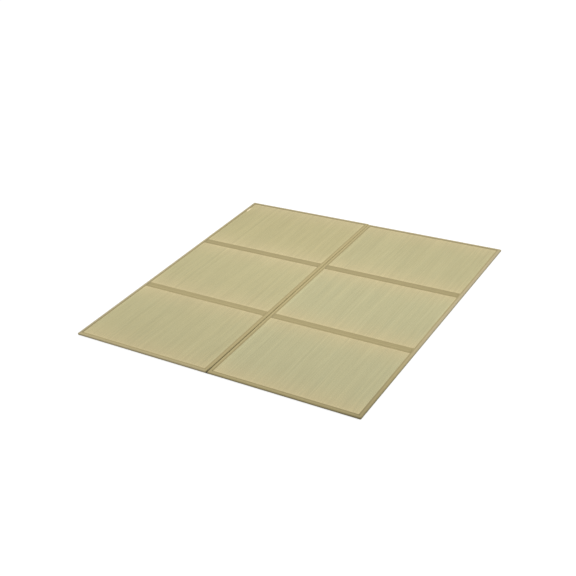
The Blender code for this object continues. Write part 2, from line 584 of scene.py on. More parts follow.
@dataclass(frozen=True, kw_only=True)
class ThreadFinish(Finish):
    """Twisted sewing thread."""

    roughness: float = 0.65
    specular: float = 0.5
    relief: float = 0.00006
    ply_scale: float = 900.0
    ply_waver: float = 0.5
    painted_ply_shade: float = 0.24
    drift_tone: float = 0.03
    drift_reach: Triple = (0.03, 0.03, 0.03)

    def look(self, sketch: NodeSketch) -> dict:
        """Colour the thread with painted shade between its plies and a slow drift of tone.

        Args:
            sketch: The material's sketch.

        Returns:
            Values or sockets by the shader input's name.
        """
        place = sketch.place()
        inputs = {"Vector": place, "Scale": self.ply_scale, "Distortion": self.ply_waver}
        ply = sketch.add("ShaderNodeTexWave", inputs, bands_direction="DIAGONAL")["Fac"]
        # Painted shade: the grooves between the plies are darker.
        tone = sketch.vary(ply, self.painted_ply_shade, 1 - self.painted_ply_shade / 2)
        tone = sketch.vary(sketch.drift(place, self.drift_reach), self.drift_tone, tone)
        colour = sketch.scale(linear_rgba(self.colour)[:3], tone)
        return {"Base Color": colour, "Normal": self.normal(sketch, ply)}


@dataclass(frozen=True, kw_only=True)
class RushFinish(Finish):
    """Woven rush: stalks that run along Y, over and under pairs of thread that run along X.

    A streak is a drift's reach, its detail and the amount of its tone.
    """

    straw: Colour
    green: Colour
    rib_pitch: float
    roughness: float = 0.62
    specular: float = 0.25
    relief: float = 0.00025
    stalk: float = 0.0013
    stalk_tone: float = 0.16
    stalk_sway: float = 0.35
    stalk_sway_reach: Triple = (0.004, 0.06, 0.01)
    # Painted shade across each stalk: the tone at its sides, and what its rounded back adds.
    painted_stalk_side_shade: float = 0.87
    painted_stalk_back_light: float = 0.20
    streaks: tuple[tuple[Triple, float, float], ...] = (
        ((0.022, 0.45, 0.05), 3.0, 0.044),
        ((0.007, 0.22, 0.05), 2.0, 0.043),
        ((0.16, 0.22, 0.05), 1.0, 0.008),
    )
    green_streaks: float = 0.12
    ragged: float = 0.012
    ragged_reach: Triple = (0.012, 0.30, 0.05)
    end_reach: float = 0.20
    # Painted shade in the rib grooves.
    painted_groove_shade: float = 0.26
    # Painted light: the rush is lighter beside the cloth.
    painted_light_beside_cloth: float = 0.10
    painted_light_beside_cloth_reach: float = 0.030
    # Painted light: the rush is lighter near the column's left side and over the left third of a panel.
    painted_left_side_light: float = 0.05
    painted_left_side_reach: float = 0.060
    painted_left_third_reach: float = 0.36

    def look(self, sketch: NodeSketch) -> dict:
        """Colour the rush by its stalks and its streaks, with painted shade in its grooves and painted light
        beside the cloth and towards the column's left side.

        Args:
            sketch: The material's sketch.

        Returns:
            Values or sockets by the shader input's name.
        """
        place = sketch.place()
        tone, height = self.stalks(sketch, place)
        for reach, detail, amount in self.streaks:
            tone = sketch.times(tone, sketch.vary(sketch.drift(place, reach, detail), amount))
        # Painted light: the rush is lighter beside the cloth, near the column's left side and over the left
        # third of some panels.
        near = sketch.near(sketch.attribute("press_reach"), self.painted_light_beside_cloth_reach)
        tone = sketch.times(tone, sketch.vary(near, self.painted_light_beside_cloth), sketch.attribute("painted_field_light"))
        colour = sketch.scale(self.hue(sketch, place), tone)
        return {"Base Color": colour, "Normal": self.normal(sketch, height)}

    def stalks(self, sketch: NodeSketch, place: object) -> tuple[object, object]:
        """Tone and height of the single stalks, which swap with their neighbours at each rib.

        Args:
            sketch: The material's sketch.
            place: Socket of the place in the row frame.

        Returns:
            The sockets of the tone and of the height.
        """
        rib_place = sketch.attribute("rib_place")
        odd = sketch.math("FLOORED_MODULO", sketch.math("FLOOR", rib_place), 2.0)
        swap = sketch.times(odd, 0.5)
        across = sketch.math("ADD", sketch.math("DIVIDE", sketch.split(place)[0], self.stalk), swap)
        across = sketch.vary(sketch.drift(place, self.stalk_sway_reach), self.stalk_sway, across)
        chance = sketch.random(sketch.math("ADD", sketch.math("FLOOR", across), swap))
        tone = sketch.vary(chance, self.stalk_tone, 1 - self.stalk_tone / 2)
        height = sketch.math("SINE", sketch.times(sketch.math("FRACT", across), math.pi))
        # Painted shade: darker in the rib grooves and at each stalk's sides, lighter on its rounded back.
        shade = sketch.vary(sketch.groove(rib_place), -self.painted_groove_shade)
        return sketch.times(tone, shade, sketch.vary(height, self.painted_stalk_back_light, self.painted_stalk_side_shade)), height

    def hue(self, sketch: NodeSketch, place: object) -> object:
        """Colour of the rush: greener in streaks, and paler and yellower at the stalks' ends.

        Args:
            sketch: The material's sketch.
            place: Socket of the place in the row frame.

        Returns:
            The socket of the colour.
        """
        ragged = sketch.drift(place, self.ragged_reach)
        end = sketch.vary(ragged, self.ragged, sketch.attribute("stalk_end"))
        greener = sketch.vary(ragged, self.green_streaks, sketch.attribute("batch"))
        body = sketch.blend(greener, self.colour, self.green)
        return sketch.blend(sketch.near(end, self.end_reach), body, self.straw)


@dataclass(frozen=True, kw_only=True)
class StagePaint(Finish):
    """Pale paint that glows more towards the camera, as a backdrop that is lit apart does.

    The glow fades to nothing between the two Y of the fade, which paints a shadow.
    """

    glow: float
    bounce: float = 0.30
    fade: Span | None = None
    colour: Colour = (137, 137, 137)
    roughness: float = 0.9
    specular: float = 0.0

    def look(self, sketch: NodeSketch) -> dict:
        """Colour the paint and set its glow.

        Args:
            sketch: The material's sketch.

        Returns:
            Values or sockets by the shader input's name.
        """
        seen = sketch.add("ShaderNodeLightPath")["Is Camera Ray"]
        strength = sketch.vary(seen, self.glow - self.bounce, self.bounce)
        if self.fade:
            y = sketch.split(sketch.place())[1]
            strength = sketch.times(strength, sketch.fall(y, *self.fade))
        return {
            "Base Color": linear_rgba(self.colour),
            "Emission Color": (1, 1, 1, 1),
            "Emission Strength": strength,
        }


RUSH = RushFinish(
    name="woven_rush", colour=(181.9, 171.4, 125.9), straw=(193.0, 179.4, 136.5),
    green=(181.9, 177.3, 137.9), rib_pitch=0.0075,
)
BINDING_CLOTH = WovenFinish(
    name="binding_weave", colour=(179, 165, 119), faded=(181, 169, 141), thread_pitch=0.0006, relief=0.00012,
)
# The label's faded colour only paints shade along its side against the binding.
LABEL_CLOTH = WovenFinish(
    name="label_weave", colour=(229, 213, 175), faded=(196, 182, 140), thread_pitch=0.0003, relief=0.00004,
)
BACKING_CLOTH = WovenFinish(
    name="backing_weave", colour=(176, 168, 146), faded=(176, 168, 146), thread_pitch=0.0010, relief=0.00010,
)
THREAD = ThreadFinish(name="sewing_thread", colour=(140, 126, 88))


def place_object(name: str, data: bpy.types.ID) -> Piece:
    """Make an object of that mesh, lamp or camera, and link it to the scene.

    Args:
        name: The object's name.
        data: Its data.

    Returns:
        The object.
    """
    made = bpy.data.objects.new(name, data)
    bpy.context.scene.collection.objects.link(made)
    return made


def make_piece(
    name: str, points: Array, faces: list, finishes: list, edges: list | tuple = (), solid: bool = True
) -> Piece:
    """Make a mesh object.

    Args:
        name: The piece's name.
        points: One row for each point.
        faces: Tuples of point numbers.
        finishes: The materials' finishes.
        edges: Pairs of point numbers, where the mesh is lines.
        solid: Whether the faces are a closed skin, to be smooth and to point out.

    Returns:
        The object, linked to the scene.
    """
    mesh = bpy.data.meshes.new(name)
    mesh.from_pydata(points.tolist(), edges, faces)
    if solid:
        builder = bmesh.new()
        builder.from_mesh(mesh)
        bmesh.ops.recalc_face_normals(builder, faces=builder.faces)
        builder.to_mesh(mesh)
        builder.free()
        mesh.shade_smooth()
    for finish in finishes:
        mesh.materials.append(finish.material())
    return place_object(name, mesh)


def give(piece: Piece, name: str, values: Array) -> None:
    """Give each point of a piece a number or a vector, as a named attribute.

    Args:
        piece: The piece.
        name: The attribute's name.
        values: A number or a row for each point.
    """
    kind, key = ("FLOAT_VECTOR", "vector") if values.ndim == 2 else ("FLOAT", "value")
    attribute = piece.data.attributes.new(name, kind, "POINT")
    attribute.data.foreach_set(key, values.astype(np.float32).ravel())


def give_cloth(piece: Piece, places: Array, shades: Array | float = 1.0, fades: Array | float = 0.0) -> None:
    """Give each point of a piece its place on the cloth.

    Args:
        piece: The piece.
        places: The places, one row for each point.
        shades: How light the cloth is there, by its tone and painted shade.
        fades: How much of its colour is mixed towards its faded colour there, from 0 to 1; on the label this
            is painted shade.
    """
    give(piece, "cloth_place", places)
    give(piece, "cloth_shade", np.broadcast_to(shades, (len(places),)))
    give(piece, "cloth_fade_and_shade", np.broadcast_to(fades, (len(places),)))


def cloth_places(along: Array, across: Array) -> Array:
    """Places on the cloth of the points of rings, a row for each point."""
    rows, columns = np.meshgrid(along, across, indexing="ij")
    return np.stack([rows, columns, np.zeros_like(rows)], -1).reshape(-1, 3)


def tube_faces(rings: int, around: int) -> list[tuple[int, ...]]:
    """Faces of a skin over rings of points, closed round and capped at both ends.

    Args:
        rings: How many rings there are.
        around: How many points each ring has.

    Returns:
        The faces.
    """
    ring = np.arange(rings * around).reshape(rings, around)
    after = np.roll(ring, -1, axis=1)
    faces = np.stack([ring[:-1], after[:-1], after[1:], ring[1:]], -1).reshape(-1, 4).tolist()
    return [*faces, ring[0].tolist(), ring[-1].tolist()]


def grid_faces(rows: int, columns: int) -> tuple[Array, Array]:
    """Number a grid of points.

    Args:
        rows: How many rows of points it has.
        columns: How many points each row has.

    Returns:
        The corners of its faces, and the points round its rim, both anticlockwise.
    """
    numbers = np.arange(rows * columns).reshape(rows, columns)
    quads = np.stack([numbers[:-1, :-1], numbers[:-1, 1:], numbers[1:, 1:], numbers[1:, :-1]], -1)
    rim = [numbers[0, :-1], numbers[:-1, -1], numbers[-1, :0:-1], numbers[:0:-1, 0]]
    return quads.reshape(-1, 4), np.concatenate(rim)


def run_tree(piece: Piece, tree: Tree, values: dict) -> None:
    """Run a Geometry Nodes tree on a piece, and keep the result as its plain mesh.

    Args:
        piece: The piece.
        tree: The tree.
        values: The tree's inputs, by name.
    """
    modifier = piece.modifiers.new(tree.name, "NODES")
    modifier.node_group = tree
    for item in tree.interface.items_tree:
        if item.item_type == "SOCKET" and item.in_out == "INPUT" and item.name in values:
            modifier[item.identifier] = values[item.name]
    graph = bpy.context.evaluated_depsgraph_get()
    made = bpy.data.meshes.new_from_object(
        piece.evaluated_get(graph), preserve_all_data_layers=True, depsgraph=graph
    )
    piece.modifiers.remove(modifier)
    before = piece.data
    piece.data = made
    bpy.data.meshes.remove(before)
    made.name = piece.name


def dress(piece: Piece, slot: Slot, *nodes: str) -> None:
    """Let a piece ride on the mat and stand for its nodes.

    Args:
        piece: The piece.
        slot: Not used.
        nodes: The nodes that it replaces.
    """
    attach(piece, "root")
    if nodes:
        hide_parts(*nodes)


def arc(centre: Span, radius: float, start: float, sweep: float, steps: int) -> list[Span]:
    """Points of an arc in an (inset, height) profile, by degrees."""
    turns = np.radians(start + sweep * np.arange(steps + 1) / steps)
    return [(centre[0] + radius * math.cos(t), centre[1] + radius * math.sin(t)) for t in turns]


@dataclass(frozen=True)
class StripShadeAndFade:
    """How light a strip of binding is, partly its own tone and partly painted shade, and how faded its
    colour is.

    Amounts that change along it are (share of its length, amount) pairs.
    """

    # Painted shade: along is partly the strip's own tone and partly shade that darkens it towards the front
    # right corner; rim darkens its rounded edge, stitches its stitch line, and edge the low part of its
    # outer face.
    along: Shares
    rim: Shares
    stitches: float
    edge: float = 0.18
    fade: Shares = ((0.0, 0.0),)
    stitch_spread: float = 0.0030
    stitch_inset: float = SIZES.border_seam - 0.001
    rim_span: Span = (0.001, 0.009)
    edge_span: Span = (0.003, 0.0095)
    fade_from: float = 0.006

    def over(self, shares: Array, inset: Array, height: Array) -> Array:
        """Work out the tone and painted shade over a strip.

        Args:
            shares: Shares of the strip's length.
            inset: Insets round its profile.
            height: Heights round its profile.

        Returns:
            A row for each share, with the tone at each point of the profile.
        """
        # Painted shade along the stitch line, low on the outer face and at the rounded rim.
        sewn = bump_at(inset, self.stitch_inset, self.stitch_spread)
        low = (1 - smooth_step(height, *self.edge_span)) * (inset < SIZES.edge_radius)
        rim = np.outer(np.interp(shares, *zip(*self.rim)), 1 - smooth_step(inset, *self.rim_span))
        painted_shade_across = (1 - self.stitches * sewn) * (1 - self.edge * low)
        return np.outer(np.interp(shares, *zip(*self.along)), painted_shade_across) * (1 - rim)

    def fades(self, shares: Array, inset: Array) -> Array:
        """How much of its colour is faded over a strip, in rows as above: most at the mat's edge."""
        outwards = 1 - smooth_step(inset, self.fade_from, SIZES.border)
        return np.outer(np.interp(shares, *zip(*self.fade)), outwards)


@dataclass
class BorderStrip:
    """A strip of binding, folded over one side of a column and mitred at both ends.

    Its waves are those of its outer edge, its inner edge and its top.
    """

    plan: ColumnPlan
    side: int
    seed: int
    tone: StripShadeAndFade
    crown: float = 0.00038
    crown_inset: float = 0.0105
    crown_spread: float = 0.0055
    dimple: float = 0.00050
    dimple_spread: float = 0.0010
    pucker: float = 0.00012
    wander: float = 0.00030
    wander_edge: float = 0.010
    wander_tip: float = 0.0215
    waves: tuple[Span, ...] = ((0.08, 0.9), (0.03, 0.3), (0.022, 0.12))
    taper: float = 0.04
    crease: float = 0.00035
    crease_spread: float = 0.0025
    section: float = 0.009
    arc_steps: int = 4
    nose_steps: int = 4
    lining_steps: int = 3
    face_insets: tuple[float, ...] = (
        0.0228, 0.0220, 0.0214, 0.0209, 0.0203, 0.0197, 0.0192, 0.0184, 0.0170, 0.0150, 0.0130,
        0.0110, 0.0090, 0.0070,
    )

    def face_height(self, inset: float, face: Face) -> float:
        """Height of the cloth's outer face there, on the top or the underside.

        Args:
            inset: Distance from the mat's edge.
            face: Which face.

        Returns:
            The height.
        """
        sunk = self.dimple * float(bump_at(inset, SIZES.border_seam, self.dimple_spread))
        if face is Face.UNDERSIDE:
            return sunk
        raised = self.crown * float(bump_at(inset, self.crown_inset, self.crown_spread))
        return SIZES.thickness + raised - sunk

    def profile(self) -> Array:
        """Points round the folded cloth: inset, height, and how far the top puckers there.

        Returns:
            A row for each point.
        """
        top, radius, half = SIZES.thickness, SIZES.edge_radius, SIZES.cloth / 2
        tip = SIZES.border - half
        points = arc((tip, top - half), half, -90, 180, self.nose_steps)
        points += [(inset, self.face_height(inset, Face.TOP)) for inset in self.face_insets]
        for inset, height in arc((radius, top - radius), radius, 90, 90, self.arc_steps):
            lift = self.face_height(inset, Face.TOP) - top
            points.append((inset, height + lift * (height - top + radius) / radius))
        points += arc((radius, radius), radius, 180, 90, self.arc_steps)
        points += [(inset, self.face_height(inset, Face.UNDERSIDE)) for inset in self.face_insets[::-1]]
        points += arc((tip, half), half, -90, 180, self.nose_steps)
        lining = radius - SIZES.cloth
        middle = (tip + radius) / 2
        points.append((middle, SIZES.cloth))
        points += arc((radius, radius), lining, 270, -90, self.lining_steps)
        points += arc((radius, top - radius), lining, 180, -90, self.lining_steps)
        points.append((middle, top - SIZES.cloth))
        profile = np.array(points)
        on_top = profile[:, 1] > top - half
        share = np.sin(math.pi * np.clip((profile[:, 0] - radius) / (tip - radius), 0, 1))
        return np.column_stack([profile, np.where(on_top, share, 0)])

    def path(self, inset: float, count: int) -> Array:
        """Points along the strip, from mitre to mitre.

        Args:
            inset: How far in the path lies.
            count: How many sections its straight part has.

        Returns:
            The points, one row each.
        """
        start, end, along, inward = self.plan.side_line(self.side, inset)
        turns = np.radians(np.linspace(45, 0, self.arc_steps + 1))
        radius = SIZES.plan_radius(inset)
        swing = np.outer(radius - radius * np.sin(turns), along)
        rise = np.outer(radius - radius * np.cos(turns), inward)
        leave, arrive = start + swing + rise, (end - swing + rise)[::-1]
        straight = leave[-1] + np.outer(np.arange(1, count) / count, arrive[0] - leave[-1])
        leave[0] += along * SIZES.mitre_part
        arrive[-1] -= along * SIZES.mitre_part
        return np.vstack([leave, straight, arrive])

    def mesh_points(self) -> tuple[Array, Array, Array]:
        """Place the strip's points.

        Returns:
            The points, ring by ring, and how far the rings lie along it and their points round it.
        """
        profile = self.profile()
        inset, height, pucker = profile.T
        start, end, _, inward = self.plan.side_line(self.side, self.crown_inset)
        straight = np.linalg.norm(end - start) - 2 * SIZES.plan_radius(self.crown_inset)
        count = max(2, round(straight / self.section))
        along = run_lengths(self.path(self.crown_inset, count))
        from_mitre = np.minimum(along, along[-1] - along)
        taper = smooth_step(from_mitre, 0.0, self.taper)
        outer, inner, top = (waver(self.seed + step, span, along) for step, span in enumerate(self.waves))
        edge_share = np.maximum(0, 1 - inset / self.wander_edge)
        tip_share = np.maximum(0, (inset - self.wander_tip) / (SIZES.border - self.wander_tip))
        shift = np.outer((1 + outer) / 2 * taper, edge_share) + np.outer(inner * taper, tip_share)
        plan = np.stack([self.path(place, count) for place in inset], 1)
        plan += self.wander * shift[..., None] * inward
        sink = self.crease * np.outer(bump_at(from_mitre, 0, self.crease_spread), pucker != 0)
        rise = height + self.pucker * np.outer(top * taper, pucker) - sink
        points = np.concatenate([plan, rise[..., None]], -1)
        return points.reshape(-1, 3), along, run_lengths(profile[:, :2])

    def build(self) -> Piece:
        """Returns:
            The finished piece.
        """
        points, along, across = self.mesh_points()
        name = f"{self.plan.name}_{self.plan.side_names[self.side]}"
        faces = tube_faces(len(along), len(across))
        piece = make_piece(f"border_{name}", points, faces, [BINDING_CLOTH])
        inset, height, _ = self.profile().T
        shares = along / along[-1]
        # Painted shade round and along the strip.
        shades = self.tone.over(shares, inset, height).ravel()
        give_cloth(piece, cloth_places(along, across), shades, self.tone.fades(shares, inset).ravel())
        dress(piece, Slot.CLOTH, f"binding_{name}")
        return piece

    def seam(self, face: Face) -> Array:
        """The line of stitches on that face of the strip, from mitre to mitre.

        Args:
            face: Which face.

        Returns:
            The line's two ends.
        """
        start, end, _, _ = self.plan.side_line(self.side, SIZES.border_seam)
        height = self.face_height(SIZES.border_seam, face) + face.value * SIZES.thread_rise
        return np.array([[*start, height], [*end, height]])


@dataclass
class FoldTape:
    """A strip of the binding cloth, sewn over the fold behind one row.

    Its waves are those of its front edge, its back edge and its top.
    """

    plan: ColumnPlan
    row: int
    seed: int
    # shade is partly the tape's own tone and partly painted shade: the tapes behind the middle row are set
    # darker where the pool of light falls.
    shade: float
    crown: float = 0.00018
    crown_place: float = 0.009
    crown_spread: float = 0.005
    dimple: float = 0.00042
    dimple_spread: float = 0.0011
    dip_spread: float = 0.0036
    pucker: float = 0.00010
    wander: float = 0.00030
    wander_from: float = 0.0175
    wander_over: float = 0.005
    waves: tuple[Span, ...] = ((0.04, 0.35), (0.04, 0.35), (0.022, 0.12))
    taper: float = 0.03
    section: float = 0.009
    nose_steps: int = 4
    seam_clear: float = 0.002
    # Painted shade across the tape: darker along its stitch lines and in the dip at the fold, and its front
    # half lighter than its back half.
    painted_stitch_shade: float = 0.09
    painted_stitch_shade_spread: float = 0.0024
    painted_fold_shade: float = 0.035
    painted_fold_shade_spread: float = 0.010
    painted_front_light: float = 0.012
    half_places: tuple[float, ...] = (
        0.0, 0.0012, 0.0024, 0.0038, 0.0056, 0.0078, 0.0100, 0.0124, 0.0141, 0.0148, 0.0155,
        0.0162, 0.0170, 0.0184, 0.0200, 0.0215,
    )
    under_places: tuple[float, ...] = (0.010, 0.004, 0.0, -0.004, -0.010)
    top_share: float = 0.95

    def dip(self, across: Array) -> Array:
        """How far the tape dips into the fold at those distances from it."""
        return SIZES.tape_dip * bump_at(across, 0, self.dip_spread)

    def face_height(self, across: Array) -> Array:
        """Height of the tape's top at those distances from the fold.

        Args:
            across: The distances.

        Returns:
            The heights.
        """
        away = np.abs(across)
        swell = self.crown * bump_at(away, self.crown_place, self.crown_spread)
        sunk = self.dimple * bump_at(away, SIZES.tape_seam, self.dimple_spread)
        return SIZES.thickness + swell - self.dip(away) - sunk

    def profile(self) -> Array:
        """Points round the tape: distance from the fold, height, and how far it puckers there.

        Returns:
            A row for each point.
        """
        half, top = SIZES.cloth / 2, SIZES.thickness
        tip = SIZES.tape / 2 - half
        places = np.array([-place for place in self.half_places[::-1]] + list(self.half_places[1:]))
        under = np.array(self.under_places)
        nose = arc((tip, top - half), half, 90, -180, self.nose_steps)
        profile = np.vstack([
            [(-x, z) for x, z in nose[::-1]],
            np.column_stack([places, self.face_height(places)]),
            nose,
            np.column_stack([under, top - SIZES.cloth - self.dip(under)]),
        ])
        on_top = profile[:, 1] > top - self.top_share * SIZES.cloth
        share = np.where(on_top, np.cos(0.5 * math.pi * profile[:, 0] / (tip + half)), 0)
        return np.column_stack([profile, share])

    def build(self) -> Piece:
        """Returns:
            The finished piece.
        """
        profile = self.profile()
        place, height, pucker = profile.T
        y = self.plan.fold(self.row) + place
        left, right = self.plan.between(y, SIZES.border + SIZES.gap)
        length = (right - left).mean()
        count = round(length / self.section)
        shares = np.arange(count + 1) / count
        along = shares * length
        taper = smooth_step(np.minimum(along, along[-1] - along), 0.0, self.taper)
        front, back, top = (waver(self.seed + step, span, along) for step, span in enumerate(self.waves))
        edges = np.where(place < 0, (front * taper)[:, None], (back * taper)[:, None])
        shift = self.wander * np.clip((abs(place) - self.wander_from) / self.wander_over, 0, 1) * edges
        x = left + np.outer(shares, right - left)
        rise = height + self.pucker * np.outer(top, pucker)
        points = np.stack([x, y + shift, rise], -1).reshape(-1, 3)
        name = f"tape_{self.plan.name}_{ROWS[self.row]}"
        faces = tube_faces(count + 1, len(profile))
        piece = make_piece(f"{name}_cloth", points, faces, [BINDING_CLOTH])
        # Painted shade across the tape, as set above.
        sewn = bump_at(np.abs(place), SIZES.tape_seam, self.painted_stitch_shade_spread)
        painted_shade_across = 1 - self.painted_stitch_shade * sewn
        painted_shade_across *= 1 - self.painted_fold_shade * bump_at(place, 0, self.painted_fold_shade_spread)
        painted_shade_across *= 1 - self.painted_front_light * place / (SIZES.tape / 2)
        places = cloth_places(along, run_lengths(profile[:, :2]))
        give_cloth(piece, places, np.tile(self.shade * painted_shade_across, count + 1))
        dress(piece, Slot.CLOTH, name)
        return piece

    def seams(self) -> list[Array]:
        """The two lines of stitches along the tape.

        Returns:
            Both ends of each line.
        """
        lines = []
        for place in (-SIZES.tape_seam, SIZES.tape_seam):
            y = self.plan.fold(self.row) + place
            height = float(self.face_height(np.array(place))) + SIZES.thread_rise
            ends = self.plan.between(y, SIZES.border + self.seam_clear)
            lines.append(np.array([[x, y, height] for x in ends]))
        return lines


@cache
def rib_tree() -> Tree:
    """Ribs of woven rush: grooves over the marked points, pressed down where cloth covers them.

    Returns:
        The tree, for run_tree.
    """
    inputs = {"Geometry": GEOMETRY, "Facing": MATERIAL, "Backing": MATERIAL, "Seed": 1.0}
    inputs |= {"Shallow Groove": 0.0002, "Deep Groove": 0.0004, "Press Depth": 0.001}
    inputs |= {"Press Width": 0.006, "Wander": 0.0004, "Wander Reach": 0.15}
    part = NodePart("woven ribs", "GeometryNodeTree", inputs, {"Geometry": GEOMETRY})
    sketch, given = part.sketch, part.given
    rib_place, reach, facing = (
        sketch.add("GeometryNodeInputNamedAttribute", {"Name": name}, data_type="FLOAT")["Attribute"]
        for name in ("rib_place", "press_reach", "facing")
    )
    odd = sketch.math("FLOORED_MODULO", sketch.math("ROUND", rib_place), 2.0)
    extra = sketch.math("SUBTRACT", given["Deep Groove"], given["Shallow Groove"])
    cut = sketch.times(sketch.groove(rib_place), sketch.vary(odd, extra, given["Shallow Groove"]))
    pressed = sketch.fall(reach, 0.0, given["Press Width"])
    free = sketch.math("SUBTRACT", 1.0, pressed)
    drop = sketch.vary(pressed, given["Press Depth"], sketch.times(cut, free))
    place = sketch.add("GeometryNodeInputPosition")[0]
    scaled = sketch.scale(place, sketch.math("DIVIDE", 1.0, given["Wander Reach"]))
    sway = sketch.noise({"Vector": scaled, "W": given["Seed"], "Detail": 1.0}, noise_dimensions="4D")
    shift = sketch.times(sway, given["Wander"], free, facing)
    offset = sketch.join(0.0, shift, sketch.times(drop, facing, -1.0))
    moved = sketch.add("GeometryNodeSetPosition", {"Geometry": given["Geometry"], "Offset": offset})[0]
    whole = sketch.add("GeometryNodeRealizeInstances", {"Geometry": moved})[0]
    on_top = sketch.math("GREATER_THAN", facing, 0.99)
    for selection, finish in ((True, "Backing"), (on_top, "Facing")):
        values = {"Geometry": whole, "Selection": selection, "Material": given[finish]}
        whole = sketch.add("GeometryNodeSetMaterial", values)[0]
    return part.done({"Geometry": whole})


@dataclass
class RushPanel:
    """A rush-faced panel: a thick slab, ribbed on top, whose rim runs under the cloth round it."""

    plan: ColumnPlan
    row: int
    batch: float
    painted_left_third_light: float
    seed: int
    tuck: float = 0.0010
    column_pitch: float = 0.014
    edge_places: tuple[float, ...] = (0.0, 0.0012, 0.0026, 0.0042, 0.0062, 0.0085)
    rib_phases: tuple[float, ...] = (0.0, 0.13, 0.5, 0.87)
    rib_clear: float = 0.0006
    shallow_groove: float = 0.00018
    deep_groove: float = 0.00036
    press_width: float = 0.0042
    wander: float = 0.0005
    rim: float = SIZES.cloth + SIZES.gap

    @property
    def folds(self) -> list[bool]:
        """For each side from the front one, whether it lies at a fold."""
        return [self.row > 0, False, self.row < len(ROWS) - 1, False]

    def column_insets(self, at_fold: float, bound: float) -> list[float]:
        """Insets from the column's outline, for a distance from each fold and from each bound side.

        Args:
            at_fold: Distance from a fold.
            bound: Distance from a bound side.

        Returns:
            The insets of the front, right, back and left.
        """
        depth = self.plan.high - self.plan.low
        front = SIZES.folds[self.row - 1] + at_fold if self.folds[0] else bound
        back = depth - SIZES.folds[self.row] + at_fold if self.folds[2] else bound
        return [front, bound, back, bound]

    def top_insets(self) -> list[float]:
        """Insets of the ribbed top, which is tucked under the cloth round it."""
        return self.column_insets(SIZES.tape / 2 - self.tuck, SIZES.border - self.tuck)

    def field_rows(self, low: float, high: float) -> Array:
        """Y of the grid's rows: at each rib's groove, its two shoulders and its crest.

        Args:
            low: Y of the first row.
            high: Y of the last row.

        Returns:
            The rows' Y, from the front.
        """
        ribs = np.arange(math.floor(low / RUSH.rib_pitch), math.ceil(high / RUSH.rib_pitch) + 1)
        places = (ribs[:, None] + np.array(self.rib_phases)).ravel() * RUSH.rib_pitch
        inside = places[(places > low + self.rib_clear) & (places < high - self.rib_clear)]
        return np.concatenate([[low], inside, [high]])

    def field_columns(self, width: float) -> Array:
        """Distances of the grid's columns from its left side, closer together at both sides.

        Args:
            width: The grid's width.

        Returns:
            The distances.
        """
        edge = np.array(self.edge_places)
        count = round((width - 2 * edge[-1]) / self.column_pitch)
        middle = np.linspace(edge[-1], width - edge[-1], count + 1)[1:-1]
        return np.concatenate([edge, middle, width - edge[::-1]])

    def levels(self) -> Array:
        """Height, inset at a bound side and inset at a fold, down the slab from its rim's top.

        Returns:
            A row for each level.
        """
        radius, least = SIZES.edge_radius, SIZES.least_radius
        turns = np.radians([90, 45, 0])
        round_in = (radius - self.rim) * (1 - np.cos(turns))
        rise = (radius - self.rim - SIZES.rim_drop) * np.sin(turns)
        field_inset = SIZES.border + SIZES.gap - self.rim
        heights = np.concatenate([SIZES.thickness - radius + rise, radius - rise[::-1], [self.rim, 0.0]])
        insets = np.concatenate([round_in, round_in[::-1], [field_inset] * 2])
        depth_in = np.minimum(heights, SIZES.thickness - self.rim - heights)
        drop = least - np.clip(depth_in, 0, least)
        return np.column_stack([heights, insets, least - np.sqrt(least**2 - drop**2)])

    def mesh_data(self) -> tuple[Array, list, int]:
        """Place the slab's points and faces.

        Returns:
            The points, the faces, and how many of the points belong to the ribbed top.
        """
        outline = self.plan.corners()
        corners = inset_corners(outline, self.top_insets())
        rows = self.field_rows(corners[0, 1], corners[2, 1])
        shares_y = (rows - rows[0]) / (rows[-1] - rows[0])
        width = corners[1, 0] - corners[0, 0]
        shares_x = self.field_columns(width) / width
        left = corners[0, 0] + (corners[3, 0] - corners[0, 0]) * shares_y
        right = corners[1, 0] + (corners[2, 0] - corners[1, 0]) * shares_y
        grid = np.full((len(rows), len(shares_x), 3), SIZES.rush_top)
        grid[..., 0] = left[:, None] + (right - left)[:, None] * shares_x
        grid[..., 1] = rows[:, None]
        quads, upper = grid_faces(len(rows), len(shares_x))
        sides = np.repeat(np.arange(4), [len(shares_x) - 1, len(rows) - 1] * 2)
        along = np.concatenate([shares_x[:-1], shares_y[:-1], 1 - shares_x[:0:-1], 1 - shares_y[:0:-1]])
        base = inset_corners(outline, self.column_insets(SIZES.panel_part / 2, self.rim))
        points, faces = [grid.reshape(-1, 3)], quads.tolist()
        for level, (height, bound, at_fold) in enumerate(self.levels()):
            corners = inset_corners(base, [at_fold if fold else bound for fold in self.folds])
            starts, ends = corners[sides], np.roll(corners, -1, axis=0)[sides]
            plan = starts + (ends - starts) * along[:, None]
            plan = round_corners(plan, corners, SIZES.plan_radius(self.rim + bound))
            points.append(np.column_stack([plan, np.full(len(plan), height)]))
            lower = len(points[0]) + level * len(upper) + np.arange(len(upper))
            faces += np.stack([upper, lower, np.roll(lower, -1), np.roll(upper, -1)], -1).tolist()
            upper = lower
        return np.vstack(points), [*faces, upper.tolist()], len(points[0])

    def give_places(self, piece: Piece, points: Array, top_count: int) -> None:
        """Give the panel's points the numbers that its ribs and its finish read.

        Args:
            piece: The panel.
            points: Its points.
            top_count: How many of them belong to the ribbed top.
        """
        x, y, _ = points[:top_count].T
        insets = self.top_insets()
        left, right = self.plan.between(y, insets[1])
        ends = np.minimum(y - self.plan.low - insets[0], self.plan.high - insets[2] - y)
